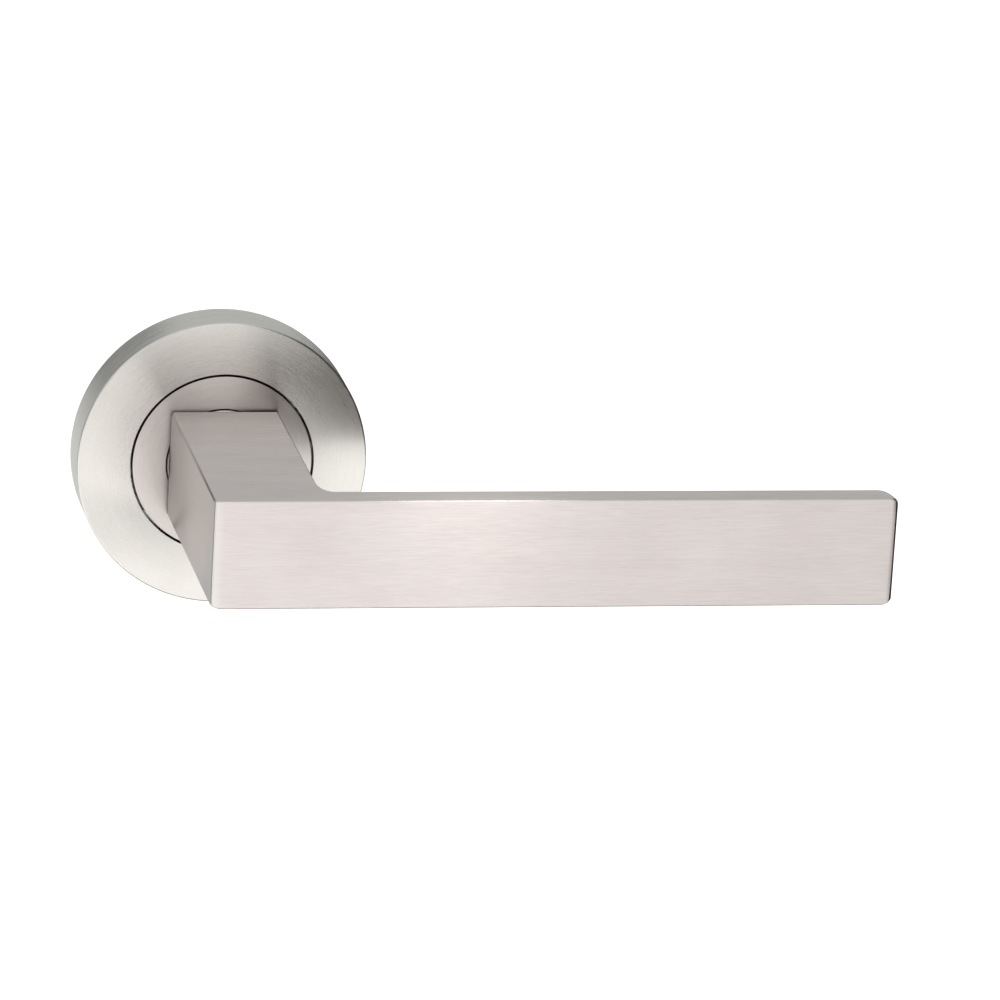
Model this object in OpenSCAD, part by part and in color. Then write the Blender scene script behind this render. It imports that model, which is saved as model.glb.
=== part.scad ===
// Lever door handle on a round concealed-fix rose, with its sprung mechanism.
//
// Frame: +Z is up, +X is the way the grip points, and the room is towards -Y.
// The origin is on the spindle's axis, in the plane of the door's surface.
// Inside front(), x is right, y is up and z is the height above the door, so a
// height of 9 there is y = -9 in the part's frame.

/* [Rose] */
// Outside diameter of the rose
rose_d = 52; // [51.6:0.1:53]
// Height of the rose above the door
rose_t = 9; // [9:0.1:10]
// Wall of the push-on rose cover
cover_wall = 1.2; // [0.9:0.05:1.25]
// Diameter of the flush disc inside the rose
disc_d = 32.1; // [32:0.05:32.4]
// Width of the dark joint line between the disc and the rose cover
ring_gap = 0.4; // [0.2:0.05:0.6]
// Radius of the rounded front edge of the rose cover
cover_edge_r = 0.5; // [0.2:0.1:0.8]

/* [Lever] */
// Width of the square neck, side to side
neck_w = 19.2; // [18.6:0.1:21]
// Height of the neck and of the grip, bottom to top
lever_h = 19.5; // [18.6:0.1:21]
// Distance from the door to the front of the grip
projection = 61; // [55:0.5:70]
// Thickness of the flat grip, front to back
grip_t = 5.3; // [5.2:0.1:7]
// Distance from the spindle's axis to the far end of the grip
grip_reach = 110.5; // [90:0.5:130]
// Radius of the long edges of the neck
neck_edge_r = 0.8; // [0.3:0.1:1.5]
// Length of the rounded rear corner at the far end, along the grip
end_rear_x = 2.8; // [1:0.1:5]
// Depth of the rounded rear corner at the far end, front to back
end_rear_y = 4.1; // [1:0.1:4.1]
// Radius of the front corner at the far end of the grip
end_front_r = 1; // [0.4:0.1:1]
// Length of the blend in the inside corner, along the grip
inner_x = 2.4; // [1:0.1:5]
// Depth of the blend in the inside corner, along the neck
inner_y = 5.5; // [1:0.5:8]
// Gap under the neck, above the flush disc
neck_gap = 0.45; // [0.3:0.05:0.8]

/* [Mechanism] */
// Across the flats of the square spindle
spindle_sq = 8; // [7.6:0.1:8]
// How far the spindle stands out behind the door's surface
spindle_back = 55; // [30:1:60]
// Diameter of the shoulder that turns in the flush disc
shoulder_d = 19.8; // [19.6:0.1:20.4]
// Diameter of the shank that turns in the bush
shank_d = 17; // [16.8:0.1:17.1]
// Turn of the lever between its two stops, in degrees
lever_turn = 45; // [35:1:48]
// Wire diameter of the return spring
spring_wire = 1.3; // [1:0.1:1.3]

/* [Fixing] */
// Distance between the two through-bolt posts
post_centres = 38; // [38:0.5:39]
// How far the posts stand out behind the door's surface
post_back = 8; // [4:0.5:8]
// Core diameter of the post's M4 thread
post_bore = 3.3; // [3.1:0.1:3.5]
// How far the wood screws stand out behind the door's surface
wood_screw_back = 14; // [8:1:18]

/* [Hidden] */
$fn = 96;
e = 0.01;

rose_r = rose_d / 2;
cover_r = rose_r - cover_wall;          // inside of the cover
cover_roof = rose_t - cover_wall;       // underside of the cover's face
disc_r = disc_d / 2;
hub_r = disc_r - 0.63;                  // hub that carries the disc
plate_r = cover_r - 0.25;
plate_t = rose_t - 2.4;
hub_t = rose_t - 1.55;
disc_t = 1.5;
shoulder_r = shoulder_d / 2;
shank_r = shank_d / 2;
neck_base = rose_t + neck_gap;
shoulder_base = rose_t - 1.65;

// heights of the stack on the shank, from the back
clip_z = [0.35, 1.15];
dsw_z = [1.18, 1.42];
cam_z = [1.45, 2.65];
washer_z = [2.7, 3.1];
boss_z = 3.2;                           // back of the plate's bearing boss
flange_z = [rose_t - 2.5, rose_t - 1.7];
roof_z = rose_t - 2.6;                  // roof of the spring's pocket
back_t = 0.8;                           // spring cover sheet

bush_out = shank_r + 1.5;
boss_r = 11.9;
pocket_r = 14.4;
coil_r = 12.95;
finger_half = 9;                        // half the finger's angle
finger_r = 17.9;
pin_r = 1.25;
pin_pcr = 16.4;
finger_rest = 285 + lever_turn / 2;     // where the finger points at rest
pin_step = finger_half + asin(pin_r / pin_pcr) + 0.3;
pin_rest = finger_rest + pin_step;
pin_limit = finger_rest - lever_turn - pin_step;
anchor_a = 104;                         // direction of the spring's fixed leg
post_r = 3.5;
wood_pcr = 19;
wood_angles = [45, 225];
tab_screws = [[2.8, 17.6], [20.6 * cos(285), 20.6 * sin(285)]];

steel = [0.80, 0.77, 0.74];
zinc = [0.62, 0.63, 0.64];
plated = [0.70, 0.70, 0.66];
nylon = [0.90, 0.89, 0.84];
black = [0.10, 0.10, 0.11];

// ---------- helpers ----------

// local x right, y up, z out of the door
module front() { rotate([90, 0, 0]) children(); }

// a flat profile extruded between two heights
module between(z0, z1) { translate([0, 0, z0]) linear_extrude(z1 - z0) children(); }

// a ring or a disc between two heights
module ring(r_out, r_in, z0, z1) {
    difference() {
        translate([0, 0, z0]) cylinder(r = r_out, h = z1 - z0);
        if (r_in > 0) translate([0, 0, z0 - 1]) cylinder(r = r_in, h = z1 - z0 + 2);
    }
}

// a rectangle with four round corners, from x0,y0 to x1,y1
module soft_rect(x0, y0, x1, y1, r) {
    union() {
        translate([x0 + r, y0]) square([x1 - x0 - 2 * r, y1 - y0]);
        translate([x0, y0 + r]) square([x1 - x0, y1 - y0 - 2 * r]);
        for (x = [x0 + r, x1 - r], y = [y0 + r, y1 - r]) translate([x, y]) circle(r);
    }
}

// a pie slice from a0 to a1, out to radius r
module pie(r, a0, a1) {
    steps = 12;
    intersection() {
        circle(r);
        polygon(concat([[0, 0]], [for (i = [0:steps]) let (a = a0 + (a1 - a0) * i / steps) 1.2 * r * [cos(a), sin(a)]]));
    }
}

// a round shaft with two flats at x = +-flat
module two_flats(r, flat) {
    intersection() {
        circle(r);
        square([2 * flat, 4 * r], center = true);
    }
}

// points of a quarter turn, centre c, radius r, from a0 to a1
function arc(c, r, a0, a1, n = 6) = [for (i = [0:n]) let (a = a0 + (a1 - a0) * i / n) c + r * [cos(a), sin(a)]];

// points of part of an oval, centre c, half axes rx and ry
function oval(c, rx, ry, a0, a1, n = 10) = [for (i = [0:n]) let (a = a0 + (a1 - a0) * i / n) c + [rx * cos(a), ry * sin(a)]];

// one tube along a list of points: n sides, capped ends
function unit(v) = v / norm(v);
function tangents(p) = [for (i = [0:len(p) - 1])
    unit((i == 0 ? p[1] - p[0] : i == len(p) - 1 ? p[i] - p[i - 1] : unit(p[i + 1] - p[i]) + unit(p[i] - p[i - 1])))];
function carry(u, t) = unit(u - (u * t) * t);
function frames(t, i, u) = i == len(t) ? [] : let (v = carry(u, t[i])) concat([v], frames(t, i + 1, v));
module tube(p, r, n, first) {
    t = tangents(p);
    u = frames(t, 0, first);
    pts = [for (i = [0:len(p) - 1], k = [0:n - 1]) let (w = cross(t[i], u[i]))
        p[i] + r * (cos(360 * k / n) * u[i] + sin(360 * k / n) * w)];
    sides = [for (i = [0:len(p) - 2], k = [0:n - 1]) [i * n + k, i * n + (k + 1) % n, (i + 1) * n + (k + 1) % n, (i + 1) * n + k]];
    caps = [[for (k = [n - 1:-1:0]) k], [for (k = [0:n - 1]) (len(p) - 1) * n + k]];
    polyhedron(pts, [for (f = concat(sides, caps)) [for (j = [len(f) - 1:-1:0]) f[j]]], convexity = 8);
}

// ---------- pieces that turn ----------

// square neck and flat grip, one casting, bored for the shank
module lever() {
    hx = neck_w / 2;
    hz = lever_h / 2;
    back = projection - grip_t;
    color(steel) front() difference() {
        union() {
            // neck
            between(neck_base, projection - 1.5) soft_rect(-hx, -hz, hx, hz, neck_edge_r);
            // grip: its plan outline and its front outline, crossed
            intersection() {
                rotate([90, 0, 0]) translate([0, 0, -hz]) linear_extrude(lever_h) polygon(concat(
                    [[-hx, projection], [-hx, back]],
                    oval([grip_reach - end_rear_x, back + end_rear_y], end_rear_x, end_rear_y, -90, 0),
                    oval([grip_reach - end_front_r, projection - end_front_r], end_front_r, end_front_r, 0, 90)));
                between(back - 1, projection + 1) soft_rect(-hx, -hz, grip_reach, hz, neck_edge_r);
            }
            // blend in the inside corner
            rotate([90, 0, 0]) translate([0, 0, -hz + neck_edge_r]) linear_extrude(lever_h - 2 * neck_edge_r) polygon(concat(
                [[hx - 1, back + 1], [hx - 1, back - inner_y]],
                oval([hx + inner_x, back - inner_y], inner_x, inner_y, 180, 90),
                [[hx + inner_x, back + 1]]));
        }
        // bore for the shank
        translate([0, 0, neck_base - 1]) cylinder(r = 7.52, h = 31 - neck_base + 1);
        // hole for the grub screw, in the underside
        translate([0, -hz - 1, 20]) rotate([-90, 0, 0]) cylinder(r = 2.55, h = hz);
    }
}

// turned insert: shoulder in the disc, journal in the bush, flats for the cam
module shank() {
    color(steel) front() difference() {
        union() {
            ring(shoulder_r, 0, shoulder_base, neck_base - 0.03);
            translate([0, 0, neck_base - 1]) cylinder(r = 7.5, h = 30 - neck_base + 1);
            between(cam_z[1] + 0.02, shoulder_base + 1) circle(shank_r);
            between(clip_z[1] + 0.02, cam_z[1] + 0.03) two_flats(shank_r, 7);
            between(clip_z[0] - 0.03, clip_z[1] + 0.03) two_flats(shank_r - 0.6, 7);
            between(-0.4, clip_z[0] - 0.02) two_flats(shank_r, 7);
        }
        // socket for the spindle
        s = spindle_sq + 0.1;
        translate([-s / 2, -s / 2, -1]) cube([s, s, 25]);
        // thread for the grub screw
        translate([0, -12, 20]) rotate([-90, 0, 0]) cylinder(r = 2.55, h = 10);
    }
}

// set screw that holds the lever on the spindle, hexagon socket below
module grub_screw() {
    tip = spindle_sq / 2 + 0.03;
    color(black) front() translate([0, 0, 20]) rotate([90, 0, 0]) difference() {
        rotate_extrude() polygon([[0, tip], [1.6, tip], [2.5, tip + 0.7], [2.5, 9.1], [2.3, 9.3], [0, 9.3]]);
        translate([0, 0, 7.1]) cylinder(r = 1.25 / cos(30), h = 4, $fn = 6);
    }
}

// square bar through the lock case
module spindle() {
    h = spindle_sq / 2;
    c = 0.4;
    color(plated) front() between(-spindle_back, 22)
        polygon([[h, h - c], [h - c, h], [c - h, h], [-h, h - c], [-h, c - h], [c - h, -h], [h - c, -h], [h, c - h]]);
}

// thin sheet sleeve that takes up the play round the spindle, behind the rose
module spindle_sleeve() {
    a = spindle_sq / 2 + 0.05;
    b = a + 0.5;
    color(plated) front() difference() {
        between(-9, -1.2) soft_rect(-b, -b, b, b, 0.6);
        translate([-a, -a, -10]) cube([2 * a, 2 * a, 10]);
        // slit that lets the sleeve spring open
        translate([-0.5, 0, -10]) cube([1, 8, 10]);
    }
}

// plate that drives the spring and meets the stops
module drive_cam() {
    color(zinc) front() between(cam_z[0], cam_z[1]) difference() {
        union() {
            circle(11.2);
            pie(finger_r, finger_rest - finger_half, finger_rest + finger_half);
        }
        two_flats(shank_r + 0.05, 7.04);
        translate(coil_r * [cos(finger_rest), sin(finger_rest)]) circle(spring_wire / 2 + 0.15);
    }
}

// slightly coned washer that takes up the end play
module disc_spring_washer() {
    color(plated) front() rotate_extrude()
        polygon([[shank_r + 0.1, dsw_z[0]], [shank_r + 0.1, dsw_z[0] + 0.12], [10.8, dsw_z[1]], [10.8, dsw_z[1] - 0.12]]);
}

// retaining ring in the shank's groove
module circlip() {
    color(black) front() between(clip_z[0], clip_z[1]) difference() {
        union() {
            difference() {
                circle(10);
                circle(shank_r - 0.58);
                pie(13, 90 - 9, 90 + 9);
            }
            for (s = [-1, 1]) rotate(s * 14.5) translate([0, 9.2]) circle(1.35);
        }
        for (s = [-1, 1]) rotate(s * 14.5) translate([0, 9.2]) circle(0.6);
        circle(shank_r - 0.58);
    }
}

// ---------- pieces that stay on the door ----------

// push-on shell with a round window
module rose_cover() {
    f = cover_edge_r;
    w = disc_r + ring_gap;
    color(steel) front() rotate_extrude() polygon(concat(
        [[rose_r, 0]],
        arc([rose_r - f, rose_t - f], f, 0, 90),
        [[w + 0.12, rose_t], [w, rose_t - 0.12], [w, cover_roof], [cover_r - 0.3, cover_roof], [cover_r, cover_roof - 0.3],
         [cover_r, 0.4], [cover_r + 0.3, 0]]));
}

// disc flush with the cover, pressed on the plate's hub
module centre_disc() {
    color(steel) front() rotate_extrude() polygon([
        [shoulder_r + 0.1, rose_t - disc_t], [shoulder_r + 0.1, rose_t - 0.1], [shoulder_r + 0.2, rose_t],
        [disc_r - 0.12, rose_t], [disc_r, rose_t - 0.12], [disc_r, plate_t + 0.05], [hub_r + 0.03, plate_t + 0.05],
        [hub_r + 0.03, rose_t - disc_t]]);
}

// outline of the sheet that closes the spring's pocket, grown by g
module back_outline(g) {
    circle(14.9 + g);
    pie(18.9 + g, pin_limit - 6, pin_rest + 6);
    translate([-6.5 - g, 0]) square([13 + 2 * g, 20.6 + g]);
    translate(tab_screws[1]) circle(2.9 + g);
}

// die-cast plate behind the cover
module mounting_plate() {
    color(zinc) front() difference() {
        union() {
            rotate_extrude() polygon([[0, 0], [plate_r, 0], [plate_r, plate_t - 0.8], [plate_r - 0.8, plate_t], [0, plate_t]]);
            translate([0, 0, plate_t - 1]) cylinder(r = hub_r, h = hub_t - plate_t + 1);
        }
        // bearing bore and the bush's seat
        translate([0, 0, -1]) cylinder(r = bush_out + 0.02, h = rose_t + 2);
        translate([0, 0, flange_z[0] - 0.05]) cylinder(r = 11.55, h = 5);
        // room for the cam below the boss
        translate([0, 0, -1]) cylinder(r = boss_r + 0.5, h = boss_z + 1);
        // annular pocket for the coil
        difference() {
            translate([0, 0, -1]) cylinder(r = pocket_r, h = roof_z + 1);
            translate([0, 0, boss_z]) cylinder(r = boss_r, h = roof_z);
        }
        // sweep of the cam's finger
        between(-1, cam_z[1] + 0.35) pie(finger_r + 0.5, pin_limit - 4.6, pin_rest + 4.6);
        // slot for the spring's fixed leg
        rotate(anchor_a) translate([11.9 + 0.4, -0.95, -1]) cube([5, 1.9, roof_z + 1]);
        // recess for the spring cover
        between(-1, back_t + 0.03) back_outline(0.1);
        // blind holes for the stop pins
        for (a = [pin_rest, pin_limit]) rotate(a) translate([pin_pcr, 0, 0]) cylinder(r = pin_r, h = 5.6);
        // holes for the spring cover's screws
        for (p = tab_screws) translate([p[0], p[1], 0]) {
            cylinder(r = 1.3, h = 4.8);
            cylinder(r = 1.5, h = 1.1);
        }
        // groove for the grip ring
        rotate_extrude() polygon([[plate_r - 1.25, 2.6], [plate_r + 1, 2.6], [plate_r + 1, 4.2], [plate_r - 1.25, 4.2]]);
        // through-bolt posts
        for (s = [-1, 1]) translate([s * post_centres / 2, 0, 0]) {
            translate([0, 0, -1]) cylinder(r = post_r + 0.02, h = rose_t);
            translate([0, 0, plate_t - 1.25]) cylinder(r = 4.62, h = 4);
        }
        // wood screws
        for (a = wood_angles) rotate(a) translate([wood_pcr, 0, 0]) {
            translate([0, 0, -1]) cylinder(r = 2.25, h = rose_t);
            translate([0, 0, plate_t - 2.2]) cylinder(r1 = 2.25, r2 = 4.5, h = 2.25);
        }
    }
}

// flanged plain bearing
module bearing_bush() {
    color(nylon) front() rotate_extrude() polygon([
        [shank_r + 0.06, boss_z - 0.05], [bush_out, boss_z - 0.05], [bush_out, flange_z[0]], [11.5, flange_z[0]],
        [11.5, flange_z[1]], [shank_r + 0.06, flange_z[1]]]);
}

// flat washer between the bush and the cam
module thrust_washer() {
    color(nylon) front() ring(11.6, shank_r + 0.1, washer_z[0], washer_z[1]);
}

// two dowels that end the lever's travel
module stop_pins() {
    color(plated) front() for (a = [pin_rest, pin_limit]) rotate(a) translate([pin_pcr, 0, 0])
        rotate_extrude() polygon([[0, back_t + 0.2], [pin_r - 0.2, back_t + 0.2], [pin_r, back_t + 0.4], [pin_r, 5.4], [pin_r - 0.2, 5.55], [0, 5.55]]);
}

// torsion spring: a radial leg in the plate's slot, the coil, an axial leg in the cam
module return_spring() {
    r = spring_wire / 2;
    b = 1;                                         // bend radius
    top = roof_z - 0.05 - r;
    low = cam_z[1] + 0.3 + r;
    lean = asin(b / coil_r);
    a0 = anchor_a - 2 * lean;
    a1 = finger_rest - 360 + lean;
    turns = (a0 - a1) + 360 - 360;
    sweep = turns < 360 ? turns + 360 : turns;
    n = 44;
    leg = [for (x = [3.5, 1.1]) (coil_r + x) * [cos(anchor_a), sin(anchor_a), 0] + [0, 0, top]];
    coil = [for (i = [0:n]) let (a = a0 - sweep * i / n) [coil_r * cos(a), coil_r * sin(a), top + (low - top) * i / n]];
    out = unit([cos(finger_rest), sin(finger_rest), 0]);
    tang = [for (z = [low - 0.35, low - b, cam_z[0] + 0.1]) coil_r * out + [0, 0, z]];
    color([0.45, 0.46, 0.48]) front() tube(concat(leg, coil, tang), r, 10, [0, 0, 1]);
}

// sheet that closes the pocket
module spring_cover() {
    color(plated) front() difference() {
        between(0, back_t) difference() {
            back_outline(0);
            circle(11.3);
        }
        for (p = tab_screws) translate([p[0], p[1], -e]) cylinder(r1 = 2.3, r2 = 1.45, h = back_t + 2 * e);
    }
}

// countersunk screws for the spring cover
module spring_cover_screws() {
    color(plated) front() for (p = tab_screws) translate([p[0], p[1], 0]) difference() {
        rotate_extrude() polygon([[0, 0.04], [2.2, 0.04], [1.25, 0.95], [1.25, 4.2], [0.9, 4.6], [0, 4.6]]);
        translate([-1.3, -0.18, -1]) cube([2.6, 0.36, 1.55]);
        translate([-0.18, -1.3, -1]) cube([0.36, 2.6, 1.55]);
    }
}

// rubber ring that grips the inside of the cover
module cover_grip_ring() {
    color(black) front() rotate_extrude() translate([cover_r - 0.74, 3.4]) circle(0.72);
}

// posts that take the M4 through bolts from the other side of the door
module through_bolt_posts() {
    color(plated) front() for (s = [-1, 1]) translate([s * post_centres / 2, 0, 0]) difference() {
        rotate_extrude() polygon([
            [0, -post_back], [post_r - 0.4, -post_back], [post_r, 0.4 - post_back], [post_r, plate_t - 1.25],
            [4.5, plate_t - 1.25], [4.5, plate_t - 0.25], [4.3, plate_t - 0.05], [0, plate_t - 0.05]]);
        translate([0, 0, -post_back - 1]) cylinder(d = post_bore, h = post_back + rose_t + 2);
    }
}

// countersunk wood screws: a plain neck in the plate, a threaded length in the door
module wood_screws() {
    t = -wood_screw_back;
    color(plated) front() for (a = wood_angles) rotate(a) translate([wood_pcr, 0, 0]) rotate(-a) difference() {
        rotate_extrude() polygon([
            [0, t], [0.25, t + 0.3], [1.9, t + 4.5], [1.9, -0.8], [2.05, -0.5], [2.05, plate_t - 2.3], [4, plate_t - 0.35], [4, plate_t - 0.1], [0, plate_t - 0.1]]);
        translate([-2.2, -0.4, plate_t - 1.6]) cube([4.4, 0.8, 3]);
        translate([-0.4, -2.2, plate_t - 1.6]) cube([0.8, 4.4, 3]);
    }
}

lever();
shank();
grub_screw();
spindle();
spindle_sleeve();
drive_cam();
disc_spring_washer();
circlip();
rose_cover();
centre_disc();
mounting_plate();
bearing_bush();
thrust_washer();
stop_pins();
return_spring();
spring_cover();
spring_cover_screws();
cover_grip_ring();
through_bolt_posts();
wood_screws();
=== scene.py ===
import math

import bpy
import bmesh
from mathutils import Matrix, Vector

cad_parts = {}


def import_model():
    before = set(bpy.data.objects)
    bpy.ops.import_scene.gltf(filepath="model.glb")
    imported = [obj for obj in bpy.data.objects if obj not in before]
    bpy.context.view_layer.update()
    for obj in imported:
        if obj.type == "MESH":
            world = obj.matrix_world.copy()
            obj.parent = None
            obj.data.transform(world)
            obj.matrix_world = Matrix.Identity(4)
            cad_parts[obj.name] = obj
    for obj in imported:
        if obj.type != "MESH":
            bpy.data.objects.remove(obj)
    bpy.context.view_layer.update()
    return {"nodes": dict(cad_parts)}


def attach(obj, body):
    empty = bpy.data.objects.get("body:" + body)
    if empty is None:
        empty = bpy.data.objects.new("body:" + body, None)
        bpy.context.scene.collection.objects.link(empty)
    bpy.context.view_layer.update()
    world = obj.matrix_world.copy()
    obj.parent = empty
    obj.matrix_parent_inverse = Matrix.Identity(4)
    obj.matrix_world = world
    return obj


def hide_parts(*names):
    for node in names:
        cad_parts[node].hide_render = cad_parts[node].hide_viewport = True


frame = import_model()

MM = 0.001
TAU = 2 * math.pi


# ------------------------------------------------------------------ camera
# Pinhole fitted to the object's edges; no shift, no depth of field.
def set_camera():
    rv = Vector((0.31157, -0.19518, 0.02709))
    t = Vector((-1.89782, -0.25071, 47.81063)) * 26 * MM
    turn = Matrix.Rotation(rv.length, 3, rv.normalized()) @ Matrix.Diagonal((1, -1, -1))
    # rows of turn are the camera's right, down and forward in (x, up, out of the door)
    def row_frame(v):
        return Vector((v[0], -v[2], v[1]))
    pos = -(turn.transposed() @ t)
    pos = row_frame(pos) + Vector((0, -9 * MM, 0))
    right, down, ahead = (row_frame(turn[i]) for i in range(3))
    cam = bpy.data.cameras.new("camera")
    cam.sensor_width = 36
    cam.lens = 7000 / 1000 * 36
    cam.clip_start = 0.05
    cam.clip_end = 50
    o = bpy.data.objects.new("camera", cam)
    bpy.context.scene.collection.objects.link(o)
    m = Matrix((right, -down, -ahead)).transposed().to_4x4()
    m.translation = pos
    o.matrix_world = m
    bpy.context.scene.camera = o
    return o


# ------------------------------------------------------------------ node helpers
class Nodes:
    """Builds a node tree with short calls."""

    def __init__(self, tree):
        self.t = tree
        tree.nodes.clear()
        self.x = 0

    def add(self, kind, ins=None, **props):
        n = self.t.nodes.new(kind)
        n.location = (self.x, 0)
        self.x += 40
        for k, v in props.items():
            setattr(n, k, v)
        for k, v in (ins or {}).items():
            self.put(n.inputs[k], v)
        return n

    def put(self, socket, v):
        if isinstance(v, bpy.types.NodeSocket):
            self.t.links.new(v, socket)
        else:
            socket.default_value = v

    def math(self, op, a, b=None, c=None, clamp=False):
        n = self.add("ShaderNodeMath", operation=op, use_clamp=clamp)
        self.put(n.inputs[0], a)
        if b is not None:
            self.put(n.inputs[1], b)
        if c is not None:
            self.put(n.inputs[2], c)
        return n.outputs[0]

    def ramp(self, v, lo, hi, to0=0.0, to1=1.0, smooth=True):
        n = self.add("ShaderNodeMapRange", interpolation_type="SMOOTHSTEP" if smooth else "LINEAR", clamp=True)
        self.put(n.inputs["Value"], v)
        n.inputs["From Min"].default_value = lo
        n.inputs["From Max"].default_value = hi
        n.inputs["To Min"].default_value = to0
        n.inputs["To Max"].default_value = to1
        return n.outputs["Result"]

    def mix(self, f, a, b, blend="MIX"):
        n = self.add("ShaderNodeMix", data_type="RGBA", blend_type=blend)
        self.put(n.inputs["Factor"], f)
        self.put(n.inputs["A"] if False else n.inputs[6], a)
        self.put(n.inputs[7], b)
        return n.outputs[2]

    def xyz(self, x, y, z):
        n = self.add("ShaderNodeCombineXYZ")
        for i, v in enumerate((x, y, z)):
            self.put(n.inputs[i], v)
        return n.outputs[0]

    def split(self, v):
        n = self.add("ShaderNodeSeparateXYZ", {0: v})
        return n.outputs[0], n.outputs[1], n.outputs[2]

    def noise(self, vec, scale, detail=2.0, rough=0.5, distortion=0.0):
        n = self.add("ShaderNodeTexNoise", {"Vector": vec, "Scale": scale, "Detail": detail, "Roughness": rough, "Distortion": distortion})
        return n.outputs["Fac"]

    def bump(self, height, strength, dist, normal=None):
        n = self.add("ShaderNodeBump", {"Height": height, "Strength": strength, "Distance": dist})
        if normal is not None:
            self.put(n.inputs["Normal"], normal)
        return n.outputs[0]


def new_material(name):
    m = bpy.data.materials.new(name)
    m.use_nodes = True
    return m, Nodes(m.node_tree)


def shader(n, **ins):
    names = {
        "color": "Base Color", "metal": "Metallic", "rough": "Roughness", "normal": "Normal", "tangent": "Tangent",
        "aniso": "Anisotropic", "turn": "Anisotropic Rotation", "spec": "Specular IOR Level", "coat": "Coat Weight",
        "coat_rough": "Coat Roughness", "sss": "Subsurface Weight", "emission": "Emission Color", "emit": "Emission Strength",
    }
    p = n.add("ShaderNodeBsdfPrincipled", {names[k]: v for k, v in ins.items()})
    out = n.add("ShaderNodeOutputMaterial", {"Surface": p.outputs[0]})
    return p


def scaled(c, k):
    return (c[0] * k, c[1] * k, c[2] * k, 1)


def window(n, v, lo, hi, soft):
    """1 between lo and hi, falling to 0 over soft on both sides"""
    return n.math("MULTIPLY", n.ramp(v, lo - soft, lo, 0.0, 1.0), n.ramp(v, hi, hi + soft, 1.0, 0.0))


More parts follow.
